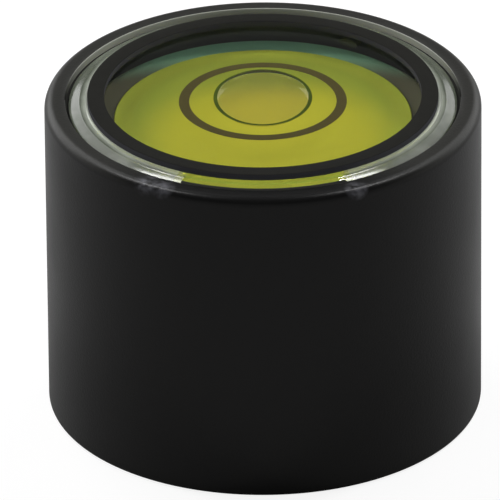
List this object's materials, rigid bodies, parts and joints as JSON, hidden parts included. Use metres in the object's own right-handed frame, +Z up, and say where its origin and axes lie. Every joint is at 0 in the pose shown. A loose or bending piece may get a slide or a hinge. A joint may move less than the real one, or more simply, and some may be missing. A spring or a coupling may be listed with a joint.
{
  "type": "bullseye level",
  "caption": "Small round bullseye spirit level: a black turned cup holding a clear liquid vial with a yellow-green disc, a target ring and a gas bubble.",
  "frame": {"origin": "centre of the flat foot that the level stands on", "axes": "+Z up through the middle of the lens, +Y towards the back of the picture's view, +X to its right"},
  "size_m": [0.0254, 0.0254, 0.0197],
  "materials": {
    "anodised_aluminium": "bead blasted and anodised black, satin",
    "clear_acrylic": "polished clear acrylic",
    "black_abs": "fine matt black",
    "printed_ink": "printed dark line",
    "fluorescent_film": "yellow-green fluorescent film",
    "grey_abs": "dark grey moulded plastic",
    "tinted_spirit": "clear liquid with a faint green tint",
    "black_rubber": "matt black",
    "pale_silicone": "pale grey silicone",
    "black_epoxy": "glossy black adhesive"
  },
  "bodies": {
    "root": {"housing": "anodised_aluminium", "vial_body": "clear_acrylic", "bezel_ring": "black_abs", "target_ring": "printed_ink", "reflector_disc": "fluorescent_film", "vial_base": "grey_abs", "spirit_fill": "tinted_spirit", "fill_plug": "black_rubber", "bedding_pad": "pale_silicone", "glue_line": "black_epoxy"}
  },
  "joints": []
}
